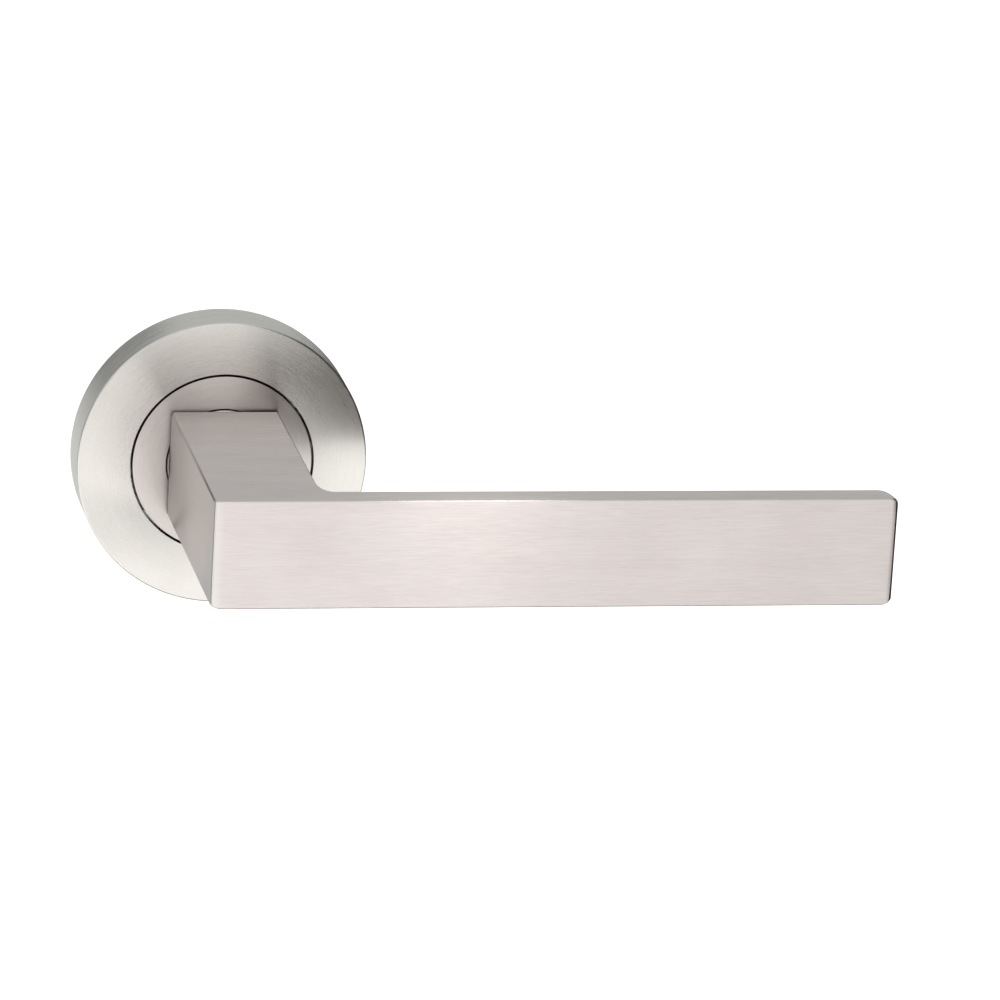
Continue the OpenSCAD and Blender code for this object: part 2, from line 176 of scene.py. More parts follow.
# Satin stainless steel finished in one direction: the scratches run along U of the "brush" UV map, in metres.
def brushed_steel(name, color, rough=0.34, aniso=0.96, streak=1.0):
    m, n = new_material(name)
    uv = n.add("ShaderNodeUVMap", uv_map="brush").outputs[0]
    u, v, _ = n.split(uv)
    tc = n.add("ShaderNodeTexCoord")
    obj = tc.outputs["Object"]
    nx = n.math("ABSOLUTE", n.split(tc.outputs["Normal"])[0])
    side = n.ramp(nx, 0.55, 0.8, 1.0, 0.15)
    # broad streaks, fine scratches and single deeper scratches, all long in u and short in v
    broad = n.noise(n.xyz(n.math("MULTIPLY", u, 170), n.math("MULTIPLY", v, 2100), 0.0), 1.0, 3.0, 0.6)
    fine = n.noise(n.xyz(n.math("MULTIPLY", u, 420), n.math("MULTIPLY", v, 5200), 3.7), 1.0, 2.0, 0.6)
    hair = n.noise(n.xyz(n.math("MULTIPLY", u, 330), n.math("MULTIPLY", v, 15000), 8.1), 1.0, 1.0, 0.5)
    patch = n.noise(n.xyz(n.math("MULTIPLY", u, 26), n.math("MULTIPLY", v, 260), 1.3), 1.0, 2.0, 0.5)
    cloud = n.noise(obj, 60.0, 2.0, 0.5)
    grain = n.math("ADD", n.math("MULTIPLY", broad, 0.5), n.math("ADD", n.math("MULTIPLY", fine, 0.3), n.math("MULTIPLY", hair, 0.2)))
    g = n.ramp(grain, 0.3, 0.7, 0.0, 1.0, smooth=False)
    g = n.math("ADD", n.math("MULTIPLY", g, 0.8), n.ramp(patch, 0.3, 0.7, 0.0, 0.2))
    k = 0.13 * streak
    col = n.mix(n.math("ADD", n.math("MULTIPLY", n.math("SUBTRACT", g, 0.5), side), 0.5), scaled(color, 1 - k), scaled(color, 1 + k))
    warm = n.ramp(cloud, 0.35, 0.65, 0.0, 1.0)
    col = n.mix(n.math("MULTIPLY", warm, 0.5), col, n.mix(1.0, col, (1.0, 0.985, 0.975, 1), "MULTIPLY"))
    # painted shade: the rear face of the grip and the neck's two sides are darkened in colour, the sides most towards
    # the base
    x, y, z = n.split(obj)
    rear = n.math("MULTIPLY", n.ramp(n.split(tc.outputs["Normal"])[1], 0.6, 0.9, 0.0, 0.3), n.ramp(x, 0.011, 0.013, 0.0, 1.0))
    flank_shade = n.math("MULTIPLY", n.ramp(nx, 0.7, 0.9, 0.0, 0.28), n.ramp(y, -0.045, -0.012, 0.4, 1.0))
    col = n.mix(n.math("MAXIMUM", rear, flank_shade), col, (0.03, 0.024, 0.020, 1))
    # painted shadow: the neck's foot next to the disc is darkened almost to black
    foot = n.ramp(n.math("SUBTRACT", y, n.ramp(nx, 0.6, 0.8, 0.0, -0.0005)), -0.00988, -0.0097, 0.0, 1.0)
    # painted shade: dark lines along the neck's top-left long edge, the front's left vertical edge and its bottom edge
    ex, ez = n.math("ADD", x, 0.0096), n.math("SUBTRACT", z, 0.00975)
    edge = n.math("SQRT", n.math("ADD", n.math("MULTIPLY", ex, ex), n.math("MULTIPLY", ez, ez)))
    edge = n.math("MULTIPLY", n.ramp(edge, 0.00018, 0.00042, 1.0, 0.0), n.ramp(y, -0.0609, -0.0603, 0.0, 1.0))
    # painted highlight: the front's left margin is paler; painted shade: dark lines along its left and bottom rims
    out = n.ramp(n.split(tc.outputs["Normal"])[1], -0.95, -0.8, 1.0, 0.0)
    col = n.mix(n.math("MULTIPLY", out, n.ramp(x, -0.0090, -0.0074, 0.6, 0.0)), col, (0.765, 0.745, 0.715, 1))
    ey = n.math("ADD", y, 0.061)
    low = n.math("ADD", z, 0.00975)
    low = n.math("SQRT", n.math("ADD", n.math("MULTIPLY", low, low), n.math("MULTIPLY", ey, ey)))
    rim = n.math("SQRT", n.math("ADD", n.math("MULTIPLY", ex, ex), n.math("MULTIPLY", ey, ey)))
    edge = n.math("MAXIMUM", edge, n.math("MULTIPLY", n.ramp(rim, 0.00018, 0.00030, 0.62, 0.0), n.ramp(z, -0.0093, -0.0085, 0.0, 1.0)))
    edge = n.math("MAXIMUM", edge, n.ramp(low, 0.00014, 0.00028, 0.6, 0.0))
    # the painted shadow and painted shade from the masks above, mixed towards near-black
    painted_shade = n.math("MAXIMUM", n.math("MULTIPLY", foot, 0.93), n.math("MULTIPLY", edge, 0.5))
    col = n.mix(painted_shade, col, (0.05, 0.045, 0.04, 1))
    r = n.math("ADD", n.ramp(g, 0, 1, rough - 0.03, rough + 0.03, smooth=False), n.ramp(cloud, 0.3, 0.7, -0.015, 0.015, smooth=False))
    nor = n.bump(fine, n.math("MULTIPLY", side, 0.14 * streak), 0.00002)
    nor = n.bump(broad, n.math("MULTIPLY", side, 0.04 * streak), 0.00004, nor)
    tan = n.add("ShaderNodeTangent", direction_type="UV_MAP", uv_map="brush").outputs[0]
    shader(n, color=col, metal=1.0, rough=r, normal=nor, aniso=aniso, turn=0.25, tangent=tan)
    return m


# Satin steel finished on a lathe: the scratches run in circles round the Y axis.
def turned_steel(name, color, rough=0.31, aniso=0.96, lines=1.0):
    m, n = new_material(name)
    obj = n.add("ShaderNodeTexCoord").outputs["Object"]
    x, y, z = n.split(obj)
    rad = n.math("SQRT", n.math("ADD", n.math("MULTIPLY", x, x), n.math("MULTIPLY", z, z)))
    inv = n.math("DIVIDE", 1.0, n.math("MAXIMUM", rad, 0.0005))
    cx, cz = n.math("MULTIPLY", x, inv), n.math("MULTIPLY", z, inv)
    across = n.math("ADD", rad, n.math("MULTIPLY", y, 1.37))

    def rings(around, pitch, seed):
        return n.xyz(n.math("MULTIPLY_ADD", cx, around, seed), n.math("MULTIPLY", cz, around), n.math("MULTIPLY", across, pitch))

    broad = n.noise(rings(1.6, 1300, 0.0), 1.0, 3.0, 0.6)
    fine = n.noise(rings(6.0, 5000, 5.0), 1.0, 2.0, 0.6)
    hair = n.noise(rings(10.0, 15000, 11.0), 1.0, 1.0, 0.5)
    cloud = n.noise(obj, 90.0, 2.0, 0.5)
    grain = n.math("ADD", n.math("MULTIPLY", broad, 0.4), n.math("ADD", n.math("MULTIPLY", fine, 0.38), n.math("MULTIPLY", hair, 0.22)))
    g = n.ramp(grain, 0.3, 0.7, 0.0, 1.0, smooth=False)
    k = 0.085 * lines
    col = n.mix(g, scaled(color, 1 - k), scaled(color, 1 + k))
    # painted shade: near-black in the fine gaps round the disc and round the shoulder, and on the shoulder by the
    # neck's left corner
    gap_shade = n.math("MAXIMUM", window(n, rad, 0.01602, 0.01648, 0.00003), window(n, rad, 0.0098, 0.01008, 0.00003))
    gap_shade = n.math("MULTIPLY", gap_shade, n.ramp(y, -0.008985, -0.00892, 0.0, 0.95))
    corner = n.math("MULTIPLY", window(n, rad, 0.0093, 0.00995, 0.00005), n.ramp(x, -0.0093, -0.0088, 0.62, 0.0))
    gap_shade = n.math("MAXIMUM", gap_shade, n.math("MULTIPLY", corner, n.ramp(y, -0.0090, -0.00902, 0.0, 1.0)))
    col = n.mix(gap_shade, col, (0.012, 0.011, 0.010, 1))
    r = n.math("ADD", n.ramp(g, 0, 1, rough - 0.03, rough + 0.03, smooth=False), n.ramp(cloud, 0.3, 0.7, -0.015, 0.015, smooth=False))
    nor = n.bump(fine, 0.09 * lines, 0.00002)
    nor = n.bump(broad, 0.04 * lines, 0.00004, nor)
    tan = n.add("ShaderNodeTangent", direction_type="RADIAL", axis="Y").outputs[0]
    shader(n, color=col, metal=1.0, rough=r, normal=nor, aniso=aniso, turn=0.25, tangent=tan)
    return m


# Raw die-cast zinc: dull grey, a fine orange-peel skin and flow clouds.
def cast_zinc(name, color):
    m, n = new_material(name)
    obj = n.add("ShaderNodeTexCoord").outputs["Object"]
    skin = n.noise(obj, 2600.0, 3.0, 0.6)
    flow = n.noise(obj, 140.0, 4.0, 0.55, 0.6)
    col = n.mix(n.ramp(flow, 0.3, 0.7), scaled(color, 0.82), scaled(color, 1.12))
    col = n.mix(n.math("MULTIPLY", n.ramp(skin, 0.35, 0.65), 0.25), col, scaled(color, 0.75))
    r = n.ramp(flow, 0.3, 0.7, 0.40, 0.56)
    nor = n.bump(skin, 0.35, 0.00004)
    shader(n, color=col, metal=0.85, rough=r, normal=nor)
    return m


# Clear zinc plating over cold-drawn or pressed steel: faint drawn lines, a slightly warm bloom.
def plated_steel(name, color, along=(0.25, 1, 0.25)):
    m, n = new_material(name)
    obj = n.add("ShaderNodeTexCoord").outputs["Object"]
    x, y, z = n.split(obj)
    v = n.xyz(n.math("MULTIPLY", x, 6000 * along[0]), n.math("MULTIPLY", y, 300 * along[1]), n.math("MULTIPLY", z, 6000 * along[2]))
    lines = n.noise(v, 1.0, 2.0, 0.55)
    bloom = n.noise(obj, 120.0, 2.0, 0.45, 0.2)
    col = n.mix(n.ramp(bloom, 0.25, 0.8), scaled(color, 1.03), (color[0] * 0.97, color[1] * 0.955, color[2] * 0.90, 1))
    r = n.math("ADD", n.ramp(bloom, 0.25, 0.8, 0.27, 0.33), n.ramp(lines, 0.3, 0.7, -0.03, 0.03))
    nor = n.bump(lines, 0.12, 0.00002)
    shader(n, color=col, metal=1.0, rough=r, normal=nor)
    return m


# Black oxide on steel, worn through a little on its high spots.
def black_oxide(name):
    m, n = new_material(name)
    obj = n.add("ShaderNodeTexCoord").outputs["Object"]
    geo = n.add("ShaderNodeNewGeometry").outputs["Pointiness"]
    spots = n.noise(obj, 900.0, 3.0, 0.6)
    wear = n.math("MULTIPLY", n.ramp(geo, 0.52, 0.62), n.ramp(spots, 0.45, 0.65))
    col = n.mix(wear, (0.022, 0.023, 0.026, 1), (0.22, 0.21, 0.20, 1))
    r = n.ramp(spots, 0.3, 0.7, 0.30, 0.45)
    nor = n.bump(spots, 0.12, 0.00003)
    shader(n, color=col, metal=0.8, rough=r, normal=nor)
    return m


# Oiled spring wire.
def spring_steel(name):
    m, n = new_material(name)
    obj = n.add("ShaderNodeTexCoord").outputs["Object"]
    a = n.noise(obj, 700.0, 3.0, 0.5)
    b = n.noise(obj, 5200.0, 1.0, 0.5)
    col = n.mix(n.ramp(a, 0.3, 0.7), (0.22, 0.215, 0.21, 1), (0.34, 0.33, 0.31, 1))
    r = n.ramp(a, 0.3, 0.7, 0.24, 0.36)
    shader(n, color=col, metal=1.0, rough=r, normal=n.bump(b, 0.12, 0.00002))
    return m


def nylon(name):
    m, n = new_material(name)
    obj = n.add("ShaderNodeTexCoord").outputs["Object"]
    a = n.noise(obj, 180.0, 3.0, 0.5)
    b = n.noise(obj, 4200.0, 2.0, 0.5)
    col = n.mix(n.ramp(a, 0.3, 0.7), (0.74, 0.72, 0.64, 1), (0.83, 0.81, 0.74, 1))
    r = n.ramp(a, 0.3, 0.7, 0.42, 0.52)
    shader(n, color=col, rough=r, normal=n.bump(b, 0.15, 0.00003), sss=0.05)
    return m


def rubber(name):
    m, n = new_material(name)
    obj = n.add("ShaderNodeTexCoord").outputs["Object"]
    a = n.noise(obj, 260.0, 3.0, 0.5)
    b = n.noise(obj, 6000.0, 2.0, 0.5)
    col = n.mix(n.ramp(a, 0.3, 0.7), (0.018, 0.018, 0.019, 1), (0.035, 0.034, 0.033, 1))
    r = n.ramp(a, 0.3, 0.7, 0.5, 0.66)
    shader(n, color=col, rough=r, normal=n.bump(b, 0.2, 0.00003))
    return m


# ------------------------------------------------------------------ mesh helpers
def finish_mesh(name, bm, mat, body, node=None, sharp=32, weighted=False):
    bmesh.ops.recalc_face_normals(bm, faces=bm.faces)
    me = bpy.data.meshes.new(name)
    bm.to_mesh(me)
    bm.free()
    for p in me.polygons:
        p.use_smooth = True
    me.set_sharp_from_angle(angle=math.radians(sharp))
    me.materials.append(mat)
    o = bpy.data.objects.new(name, me)
    bpy.context.scene.collection.objects.link(o)
    if weighted:
        w = o.modifiers.new("normals", "WEIGHTED_NORMAL")
        w.keep_sharp = True
        w.mode = "FACE_AREA"
        w.weight = 50
    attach(o, body)
    if node:
        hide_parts(node)
    return o


def P(x, h, z):
    """right, height above the door, up, in mm, to the row frame in metres"""
    return Vector((x * MM, -h * MM, z * MM))


def fillet(points, segs=5):
    """[(r, h, radius)] of a closed profile to [(r, h)] with each corner rounded by its radius."""
    out = []
    n = len(points)
    for i, (x, y, rad) in enumerate(points):
        if rad <= 0:
            out.append((x, y))
            continue
        p = Vector((x, y))
        a = Vector(points[i - 1][:2]) - p
        b = Vector(points[(i + 1) % n][:2]) - p
        a.normalize()
        b.normalize()
        ang = math.acos(max(-1, min(1, a.dot(b))))
        d = rad / math.tan(ang / 2)
        c = p + (a + b).normalized() * (rad / math.sin(ang / 2))
        p0, p1 = p + a * d, p + b * d
        v0, v1 = p0 - c, p1 - c
        sweep = math.pi - ang
        sign = 1 if v0.x * v1.y - v0.y * v1.x > 0 else -1
        for k in range(segs + 1):
            t = sign * sweep * k / segs
            out.append((c.x + v0.x * math.cos(t) - v0.y * math.sin(t), c.y + v0.x * math.sin(t) + v0.y * math.cos(t)))
    return out


def lathe_into(bm, profile, segs=160, centre=(0, 0), turn=0.0):
    """Closed (r, h) profile turned round the door-normal axis through centre (x, z) in mm."""
    rings = []
    for r, h in profile:
        if r < 1e-6:
            rings.append([bm.verts.new(P(centre[0], h, centre[1]))])
        else:
            rings.append([bm.verts.new(P(centre[0] + r * math.cos(turn + TAU * k / segs), h, centre[1] + r * math.sin(turn + TAU * k / segs))) for k in range(segs)])
    n = len(rings)
    for i in range(n):
        a, b = rings[i], rings[(i + 1) % n]
        for k in range(segs):
            q = (k + 1) % segs
            if len(a) == 1 and len(b) == 1:
                continue
            if len(a) == 1:
                bm.faces.new((a[0], b[q], b[k]))
            elif len(b) == 1:
                bm.faces.new((a[k], a[q], b[0]))
            else:
                bm.faces.new((a[k], a[q], b[q], b[k]))


def lathe(name, profile, mat, body, node=None, segs=160, sharp=32, centres=((0, 0),)):
    bm = bmesh.new()
    for c in centres:
        lathe_into(bm, profile, segs, c)
    return finish_mesh(name, bm, mat, body, node, sharp)


# ------------------------------------------------------------------ the lever
def lever_outline():
    """Plan outline of neck and grip: [(x, h, out_x, out_h, top_in, top_down, low_in, low_down)], clockwise from the neck's end.
    The last four say how the rim is rounded there, above and below."""
    hx, front, back, base, reach = 9.6, 61.0, 55.7, 9.45, 110.5
    # edges: name -> (top_in, top_down, low_in, low_down)
    left = (0.46, 0.46, 2.3, 1.1)
    left_low = (0.80, 0.80, 0.9, 0.9)
    face = (0.34, 0.30, 0.34, 0.34)
    end = (1.5, 1.1, 2.0, 0.95)
    rear = (0.38, 0.38, 0.45, 0.45)
    right = (0.5, 0.5, 0.6, 0.6)
    foot = (0.2, 0.2, 0.2, 0.2)

    def lerp(a, b, t):
        return tuple(x + (y - x) * t for x, y in zip(a, b))

    pts = []

    def corner(cx, cy, rx, ry, a0, a1, e0, e1, n, hollow=False):
        for k in range(n + 1):
            t = k / n
            a = math.radians(a0 + (a1 - a0) * t)
            x, y = cx + rx * math.cos(a), cy + ry * math.sin(a)
            nx, ny = math.cos(a) / rx, math.sin(a) / ry
            s = math.hypot(nx, ny) * (-1 if hollow else 1)
            tt = t * t * (3 - 2 * t)
            pts.append((x, y, nx / s, ny / s) + lerp(e0, e1, tt))

    def run(x0, y0, x1, y1, nx, ny, e, n, e1=None):
        for k in range(1, n):
            t = k / n
            pts.append((x0 + (x1 - x0) * t, y0 + (y1 - y0) * t, nx, ny) + lerp(e, e1 or e, t))

    r = 0.28
    corner(-hx + r, base + r, r, r, 270, 180, foot, left_low, 5)
    run(-hx, base + r, -hx, front - 0.5, -1, 0, left_low, 30, left)
    r = 0.5
    corner(-hx + r, front - r, r, r, 180, 90, left, face, 8)
    run(-hx + r, front, -7.2, front, 0, 1, face, 14)
    run(-7.2, front, 107.4, front, 0, 1, face, 40)
    run(107.4, front, reach - 1, front, 0, 1, face, 12)
    r = 1.0
    corner(reach - r, front - r, r, r, 90, 0, face, end, 10)
    corner(reach - 2.8, back + 4.1, 2.8, 4.1, 0, -90, end, rear, 16)
    run(reach - 2.8, back, hx + 2.4, back, 0, -1, rear, 36)
    corner(hx + 2.4, back - 5.5, 2.4, 5.5, 90, 180, rear, right, 16, hollow=True)
    run(hx, back - 5.5, hx, base + 0.28, 1, 0, right, 14)
    r = 0.28
    corner(hx - r, base + r, r, r, 0, -90, right, foot, 5)
    run(hx - r, base, -8.2, base, 0, -1, foot, 8)
    run(-8.2, base, -hx + r, base, 0, -1, foot, 7)
    return pts


def build_lever(mat):
    hz = 9.75
    pts = lever_outline()
    n = len(pts)
    SEG = 7

    def inner(i, top):
        x, h, nx, ny = pts[i][:4]
        d = pts[i][4] if top else pts[i][6]
        return x - nx * d, h - ny * d

    def legal(x, h, top):
        # keeps inset points inside both neighbours' insets at the tight corners
        x = max(x, -9.6 + side_round(h, top)[0])
        h = min(h, 61.0 - 0.34)
        if h > 54:
            x = min(x, 110.5 - ((1.5 if top else 2.0) if h > 57 else 0.38))
        h = max(h, 9.45 + 0.2)
        return x, h

    def side_round(h, top):
        t = max(0, min(1, (h - 9.73) / 50.77))
        return (0.80 + (0.46 - 0.80) * t, 0.80 + (0.46 - 0.80) * t) if top else (0.9 + (2.3 - 0.9) * t, 0.9 + (1.1 - 0.9) * t)

    def lift(x, h, nh, top):
        # how far the rounded left side and the rounded end lower the rim of a face that meets them
        wide, deep = side_round(h, top)
        out = 0
        d = x + 9.6
        if d < wide:
            out = deep * (1 - math.sqrt(max(0, 1 - ((wide - d) / wide) ** 2)))
        if h > 57:
            wide, deep = (1.5, 1.1) if top else (2.0, 0.95)
            d = 110.5 - x
            if d < wide:
                out = max(out, deep * (1 - math.sqrt(max(0, 1 - ((wide - d) / wide) ** 2))))
        return out * abs(nh)

    bm = bmesh.new()
    rows = []
    expo = 2.05
    for top in (True, False):
        ring_rows = []
        for k in range(SEG + 1):
            a = math.pi / 2 * k / SEG
            # a slightly square quarter round
            c, s = math.cos(a), math.sin(a)
            q = (abs(c) ** expo + abs(s) ** expo) ** (1 / expo)
            c, s = c / q, s / q
            row = []
            for i in range(n):
                x, h = pts[i][:2]
                down = pts[i][5] if top else pts[i][7]
                ix, ih = legal(*inner(i, top), top)
                f = 1 - c
                x, h = x + (ix - x) * f, h + (ih - h) * f
                z = hz - lift(x, h, pts[i][3], top) - down + down * s
                row.append(bm.verts.new(P(x, h, z if top else -z)))
            ring_rows.append(row)
        rows.append(ring_rows)
    for ring_rows in rows:
        for a, b in zip(ring_rows, ring_rows[1:]):
            for i in range(n):
                j = (i + 1) % n
                bm.faces.new((a[i], a[j], b[j], b[i]))
    # the straight wall between the two rims, in bands
    BANDS = 6
    walls = [rows[1][0]]
    for b in range(1, BANDS):
        t = b / BANDS
        walls.append([bm.verts.new(lo.co.lerp(hi.co, t)) for lo, hi in zip(rows[1][0], rows[0][0])])
    walls.append(rows[0][0])
    for a, b in zip(walls, walls[1:]):
        for i in range(n):
            j = (i + 1) % n
            bm.faces.new((a[i], a[j], b[j], b[i]))
    caps = [bm.faces.new(rows[0][-1]), bm.faces.new(rows[1][-1])]
    bmesh.ops.remove_doubles(bm, verts=bm.verts, dist=2e-6)
    bmesh.ops.dissolve_degenerate(bm, edges=bm.edges, dist=1e-6)
    bmesh.ops.recalc_face_normals(bm, faces=bm.faces)
    me = bpy.data.meshes.new("lever_grip")
    bm.to_mesh(me)
    bm.free()
    o = bpy.data.objects.new("lever_grip", me)
    bpy.context.scene.collection.objects.link(o)
    # bore for the shank and the grub screw's hole
    for cut in (bore_cutter(), grub_cutter()):
        mod = o.modifiers.new("cut", "BOOLEAN")
        mod.operation = "DIFFERENCE"
        mod.solver = "EXACT"
        mod.object = cut
        dg = bpy.context.evaluated_depsgraph_get()
        done = bpy.data.meshes.new_from_object(o.evaluated_get(dg))
        o.modifiers.clear()
        o.data = done
        bpy.data.objects.remove(cut)
    me = o.data
    me.name = "lever_grip"
    me.materials.clear()
    me.materials.append(mat)
    for p in me.polygons:
        p.use_smooth = True
        p.material_index = 0
    me.set_sharp_from_angle(angle=math.radians(35))
    brush_uv(me)
    w = o.modifiers.new("normals", "WEIGHTED_NORMAL")
    w.keep_sharp = True
    w.mode = "FACE_AREA"
    w.weight = 50
    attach(o, "lever_set")
    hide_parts("lever")
    return o


def cutter(name, profile, segs, place):
    bm = bmesh.new()
    rings = [[bm.verts.new(place(r * math.cos(TAU * k / segs), r * math.sin(TAU * k / segs), h)) for k in range(segs)] for r, h in profile]
    for a, b in zip(rings, rings[1:]):
        for k in range(segs):
            q = (k + 1) % segs
            bm.faces.new((a[k], a[q], b[q], b[k]))
    bm.faces.new(rings[0])
    bm.faces.new(rings[-1])
    bmesh.ops.recalc_face_normals(bm, faces=bm.faces)
    me = bpy.data.meshes.new(name)
    bm.to_mesh(me)
    bm.free()
    o = bpy.data.objects.new(name, me)
    bpy.context.scene.collection.objects.link(o)
    return o


def bore_cutter():
    return cutter("bore_cut", [(7.8, 8.0), (7.8, 9.5), (7.52, 9.8), (7.52, 31)], 64, lambda a, b, h: P(a, h, b))


def grub_cutter():
    return cutter("grub_cut", [(3.1, -11), (2.95, -9.72), (2.55, -9.3), (2.55, -5)], 48, lambda a, b, h: P(a, 20 + b, h))


def brush_uv(me):
    """Box-mapped UVs in metres: U runs along X on the front, back, top and bottom, and out of the door on the two sides."""
    layer = me.uv_layers.new(name="brush")
    for p in me.polygons:
        nx, ny, nz = abs(p.normal.x), abs(p.normal.y), abs(p.normal.z)
        for li in p.loop_indices:
            c = me.vertices[me.loops[li].vertex_index].co
            if nx >= ny and nx >= nz:
                uv = (c.y, c.z)
            elif ny >= nz:
                uv = (c.x, c.z + 0.31)
            else:
                uv = (c.x + 0.17, c.y)
            layer.data[li].uv = uv


def cut(o, tools):
    for tool in tools:
        mod = o.modifiers.new("cut", "BOOLEAN")
        mod.operation = "DIFFERENCE"
        mod.solver = "EXACT"
        mod.object = tool
        dg = bpy.context.evaluated_depsgraph_get()
        done = bpy.data.meshes.new_from_object(o.evaluated_get(dg))
        o.modifiers.clear()
        o.data = done
        bpy.data.objects.remove(tool)


def block(name, x0, x1, h0, h1, z0, z1):
    bm = bmesh.new()
    v = [bm.verts.new(P(x, h, z)) for x in (x0, x1) for h in (h0, h1) for z in (z0, z1)]
    for q in ((0, 1, 3, 2), (4, 6, 7, 5), (0, 4, 5, 1), (2, 3, 7, 6), (0, 2, 6, 4), (1, 5, 7, 3)):
        bm.faces.new([v[i] for i in q])
    bmesh.ops.recalc_face_normals(bm, faces=bm.faces)
    me = bpy.data.meshes.new(name)
    bm.to_mesh(me)
    bm.free()
    o = bpy.data.objects.new(name, me)
    bpy.context.scene.collection.objects.link(o)
    return o


def dress(o, name, mat, body, node, sharp=32):
    me = o.data
    me.name = name
    me.materials.clear()
    me.materials.append(mat)
    for p in me.polygons:
        p.use_smooth = True
        p.material_index = 0
    me.set_sharp_from_angle(angle=math.radians(sharp))
    w = o.modifiers.new("normals", "WEIGHTED_NORMAL")
    w.keep_sharp = True
    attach(o, body)
    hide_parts(node)


# turned shank: polished shoulder, journal with two flats, clip groove, square socket, hole for the grub screw
def build_shank(mat):
    bm = bmesh.new()
    lathe_into(bm, fillet([
        (0, -0.4, 0), (8.5, -0.4, 0.3), (8.5, 0.33, 0.05), (7.9, 0.33, 0.05), (7.9, 1.17, 0.05), (8.5, 1.17, 0.05), (8.5, 7.35, 0.1),
        (9.9, 7.35, 0.15), (9.9, 9.42, 0.26), (7.5, 9.42, 0.1), (7.5, 30, 0.6), (0, 30, 0),
    ], 5), 128)
    bmesh.ops.recalc_face_normals(bm, faces=bm.faces)
    me = bpy.data.meshes.new("turned_shank")
    bm.to_mesh(me)
    bm.free()
    o = bpy.data.objects.new("turned_shank", me)
    bpy.context.scene.collection.objects.link(o)
    cut(o, (
        block("c1", -4.05, 4.05, -2, 24, -4.05, 4.05), block("c2", 7.0, 10, -2, 2.66, -12, 12), block("c3", -10, -7.0, -2, 2.66, -12, 12),
        cutter("c4", [(2.9, -8.2), (2.55, -7.1), (2.55, -3)], 40, lambda a, b, h: P(a, 20 + b, h)),
    ))
    dress(o, "turned_shank", mat, "lever_set", "shank")


# two countersunk wood screws: cross recess, plain neck, spiral thread, gimlet point
def build_wood_screws(mat):
    TOP, SEG, PITCH = 6.5, 40, 1.55
    for i, ang in enumerate((45, 225)):
        cx, cz = 19 * math.cos(math.radians(ang)), 19 * math.sin(math.radians(ang))
        rows = [(3.7, TOP), (3.93, TOP - 0.06), (3.99, TOP - 0.16), (3.97, TOP - 0.28), (2.15, 4.28), (2.04, 4.12)]
        rows += [(2.04, 4.1 - k * 0.45) for k in range(1, 10)] + [(2.04, -0.5), (1.9, -0.72)]
        h = -0.8
        bm = bmesh.new()
        rings = []
        cap = bm.verts.new(P(cx, TOP, cz))
        for r, hh in rows:
            rings.append([bm.verts.new(P(cx + r * math.cos(TAU * k / SEG), hh, cz + r * math.sin(TAU * k / SEG))) for k in range(SEG)])
        while h > -13.85:
            f = min(1, (h + 14) / 4.5)
            fade = min(1, (-0.8 - h) / 1.0)
            ring = []
            for k in range(SEG):
                ph = (h / PITCH + k / SEG) % 1.0
                ridge = max(0, 1 - abs(ph - 0.5) / 0.2)
                full = 0.25 + 1.64 * f
                core = full - 0.52 * min(1, f * 1.5) * fade
                r = core + (full - core) * ridge
                ring.append(bm.verts.new(P(cx + r * math.cos(TAU * k / SEG), h, cz + r * math.sin(TAU * k / SEG))))
            rings.append(ring)
            h -= 0.11
        tip = bm.verts.new(P(cx, -14, cz))
        for a, b in zip(rings, rings[1:]):
            for k in range(SEG):
                q = (k + 1) % SEG
                bm.faces.new((a[k], a[q], b[q], b[k]))
        for k in range(SEG):
            q = (k + 1) % SEG
            bm.faces.new((cap, rings[0][q], rings[0][k]))
            bm.faces.new((tip, rings[-1][k], rings[-1][q]))
        bmesh.ops.recalc_face_normals(bm, faces=bm.faces)
        name = "wood_screw_%d" % (i + 1)
        me = bpy.data.meshes.new(name)
        bm.to_mesh(me)
        bm.free()
        o = bpy.data.objects.new(name, me)
        bpy.context.scene.collection.objects.link(o)
        cut(o, (
            block("r1", cx - 2.2, cx + 2.2, TOP - 1.5, TOP + 1, cz - 0.42, cz + 0.42),
            block("r2", cx - 0.42, cx + 0.42, TOP - 1.5, TOP + 1, cz - 2.2, cz + 2.2),
        ))
        dress(o, name, mat, "rose", "wood_screws", 40)


# small broken edges and even shading on the parts that keep their CAD mesh
def soften_cad():
    made = {"lever", "shank", "rose_cover", "centre_disc", "wood_screws"}
    widths = {"mounting_plate": 0.12, "spindle": 0.12, "drive_cam": 0.1, "through_bolt_posts": 0.1, "stop_pins": 0.1, "spring_cover": 0.05, "bearing_bush": 0.08}
    for node, o in frame["nodes"].items():
        if node in made:
            continue
        for p in o.data.polygons:
            p.use_smooth = True
        w = o.modifiers.new("weld", "WELD")
        w.merge_threshold = 1e-6
        if node in ("return_spring",):
            q = o.modifiers.new("round", "SUBSURF")
            q.levels = q.render_levels = 2
            continue
        if node in ("cover_grip_ring",):
            continue
        # flat faces become single faces first, so that the bevel has no slivers to run into
        d = o.modifiers.new("flat", "DECIMATE")
        d.decimate_type = "DISSOLVE"
        d.angle_limit = math.radians(0.5)
        b = o.modifiers.new("edge", "BEVEL")
        b.width = widths.get(node, 0.04) * MM
        b.segments = 2
        b.limit_method = "ANGLE"
        b.angle_limit = math.radians(40)
        b.use_clamp_overlap = True
        b.harden_normals = False
        w = o.modifiers.new("normals", "WEIGHTED_NORMAL")
        w.keep_sharp = True


